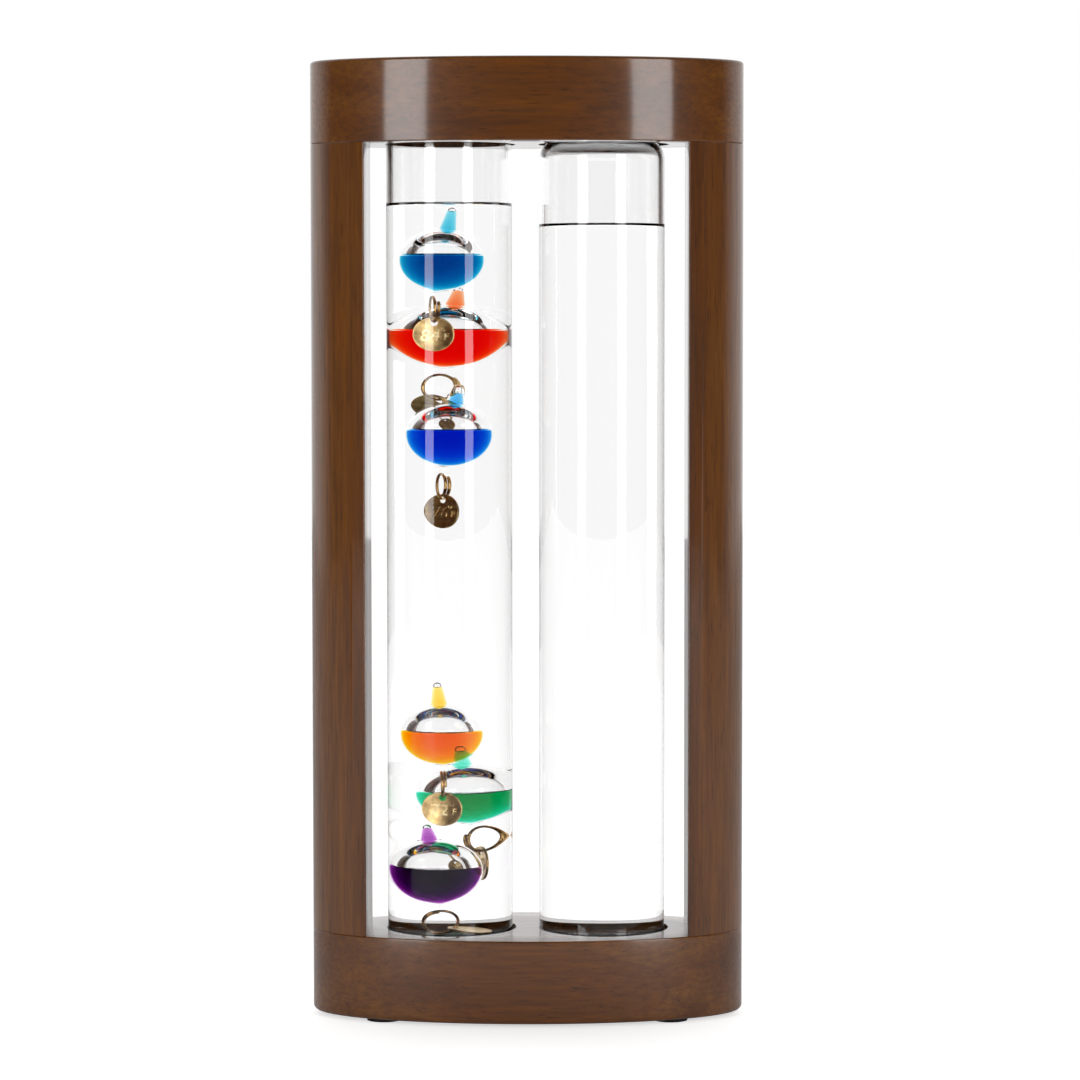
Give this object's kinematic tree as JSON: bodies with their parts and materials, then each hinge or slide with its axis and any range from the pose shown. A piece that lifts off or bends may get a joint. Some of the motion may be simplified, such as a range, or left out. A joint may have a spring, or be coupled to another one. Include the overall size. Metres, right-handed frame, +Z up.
{
  "type": "galileo thermometer",
  "caption": "Floating-globe thermometer beside a storm glass, both in a bow-fronted wooden frame.",
  "frame": {"origin": "middle of the underside of the felt feet, on the table", "axes": "+Z up, the front faces -Y, the thermometer tube is at -X and the storm glass at +X"},
  "size_m": [0.127, 0.056, 0.2804],
  "materials": {
    "wood": "dark stained, satin lacquer",
    "dowel_wood": "plain turned wood",
    "cork": "fine pressed cork",
    "foam": "soft foam",
    "felt": "felt",
    "glass": "clear",
    "clear_liquid": "clear liquid",
    "wire": "bright drawn wire",
    "tag_metal": "stamped, worn bright",
    "dye_84": "light blue liquid",
    "dye_80": "red liquid",
    "dye_76": "blue liquid",
    "dye_72": "amber liquid",
    "dye_68": "green liquid",
    "dye_64": "purple liquid"
  },
  "bodies": {
    "frame": {"top_block": "wood", "bottom_block": "wood", "left_stile": "wood", "right_stile": "wood", "frame_dowels": "dowel_wood", "left_base_plug": "dowel_wood", "right_base_plug": "dowel_wood", "left_base_cushion": "cork", "right_base_cushion": "cork", "left_top_cushion": "foam", "right_top_cushion": "foam", "felt_feet": "felt", "thermometer_tube": "glass", "thermometer_liquid": "clear_liquid", "storm_tube": "glass", "storm_liquid": "clear_liquid"},
    "globe_84": {"globe_84": "glass", "dye_84": "dye_84"},
    "ring_84": {"ring_84": "wire"},
    "tag_84": {"tag_84": "tag_metal"},
    "globe_80": {"globe_80": "glass", "dye_80": "dye_80"},
    "ring_80": {"ring_80": "wire"},
    "tag_80": {"tag_80": "tag_metal"},
    "globe_76": {"globe_76": "glass", "dye_76": "dye_76"},
    "ring_76": {"ring_76": "wire"},
    "tag_76": {"tag_76": "tag_metal"},
    "globe_72": {"globe_72": "glass", "dye_72": "dye_72"},
    "ring_72": {"ring_72": "wire"},
    "tag_72": {"tag_72": "tag_metal"},
    "globe_68": {"globe_68": "glass", "dye_68": "dye_68"},
    "ring_68": {"ring_68": "wire"},
    "tag_68": {"tag_68": "tag_metal"},
    "globe_64": {"globe_64": "glass", "dye_64": "dye_64"},
    "ring_64": {"ring_64": "wire"},
    "tag_64": {"tag_64": "tag_metal"}
  },
  "joints": [
    {"name": "globe_84_rise", "type": "slide", "parent": "frame", "child": "globe_84", "axis": [0, 0, 1], "range_m": [-0.0003, 0], "stiffness_N_per_m": 0.4, "springref_m": 0.1, "deforming": ["thermometer_liquid"]},
    {"name": "ring_84_swing", "type": "hinge", "parent": "globe_84", "child": "ring_84", "pos_m": [-0.02612, -0.00196, 0.2114], "axis": [0.2588, 0.9659, 0], "range_deg": [-20, 20]},
    {"name": "tag_84_swing", "type": "hinge", "parent": "ring_84", "child": "tag_84", "pos_m": [-0.0261, -0.00363, 0.20447], "axis": [0.2588, 0.9659, 0], "range_deg": [-25, 25]},
    {"name": "globe_80_rise", "type": "slide", "parent": "frame", "child": "globe_80", "axis": [0, 0, 1], "range_m": [-0.0003, 0], "stiffness_N_per_m": 0.4, "springref_m": 0.1, "deforming": ["thermometer_liquid"]},
    {"name": "ring_80_swing", "type": "hinge", "parent": "globe_80", "child": "ring_80", "pos_m": [-0.02478, 0.00712, 0.18891], "axis": [0.7986, 0.6018, 0], "range_deg": [0, 8]},
    {"name": "tag_80_swing", "type": "hinge", "parent": "ring_80", "child": "tag_80", "pos_m": [-0.02492, 0.00731, 0.1816], "axis": [0.7986, 0.6018, 0], "range_deg": [0, 12]},
    {"name": "globe_76_rise", "type": "slide", "parent": "frame", "child": "globe_76", "axis": [0, 0, 1], "range_m": [-0.042, 0], "stiffness_N_per_m": 0.4, "springref_m": 0.1, "deforming": ["thermometer_liquid"]},
    {"name": "ring_76_swing", "type": "hinge", "parent": "globe_76", "child": "ring_76", "pos_m": [-0.02462, -0.00145, 0.15994], "axis": [0.309, 0.9511, 0], "range_deg": [-20, 20]},
    {"name": "tag_76_swing", "type": "hinge", "parent": "ring_76", "child": "tag_76", "pos_m": [-0.02424, -0.00157, 0.15264], "axis": [0.309, 0.9511, 0], "range_deg": [-25, 25]},
    {"name": "globe_72_rise", "type": "slide", "parent": "frame", "child": "globe_72", "axis": [0, 0, 1], "range_m": [0, 0.042], "deforming": ["thermometer_liquid"]},
    {"name": "ring_72_swing", "type": "hinge", "parent": "globe_72", "child": "ring_72", "pos_m": [-0.02409, -0.00296, 0.0722], "axis": [-0.0175, 0.9998, 0], "range_deg": [0, 20]},
    {"name": "tag_72_swing", "type": "hinge", "parent": "ring_72", "child": "tag_72", "pos_m": [-0.02441, -0.00433, 0.06517], "axis": [-0.0175, 0.9998, 0], "range_deg": [-25, 25]},
    {"name": "globe_68_rise", "type": "slide", "parent": "frame", "child": "globe_68", "axis": [0, 0, 1], "range_m": [0, 0.0004], "deforming": ["thermometer_liquid"]},
    {"name": "ring_68_swing", "type": "hinge", "parent": "globe_68", "child": "ring_68", "pos_m": [-0.01914, 0.00563, 0.05412], "axis": [0.5878, 0.809, 0], "range_deg": [-20, 0]},
    {"name": "tag_68_swing", "type": "hinge", "parent": "ring_68", "child": "tag_68", "pos_m": [-0.01808, 0.00793, 0.0478], "axis": [0.5878, 0.809, 0], "range_deg": [-25, 3]},
    {"name": "globe_64_rise", "type": "slide", "parent": "frame", "child": "globe_64", "axis": [0, 0, 1], "range_m": [0, 0.0002], "deforming": ["thermometer_liquid"]},
    {"name": "ring_64_swing", "type": "hinge", "parent": "globe_64", "child": "ring_64", "pos_m": [-0.02454, 0.00118, 0.03094], "axis": [0.9848, -0.1736, 0], "range_deg": [-20, 0]},
    {"name": "tag_64_swing", "type": "hinge", "parent": "ring_64", "child": "tag_64", "pos_m": [-0.02199, -0.00221, 0.02616], "axis": [0.6042, 0.375, 0.7031], "range_deg": [-20, 0]}
  ]
}
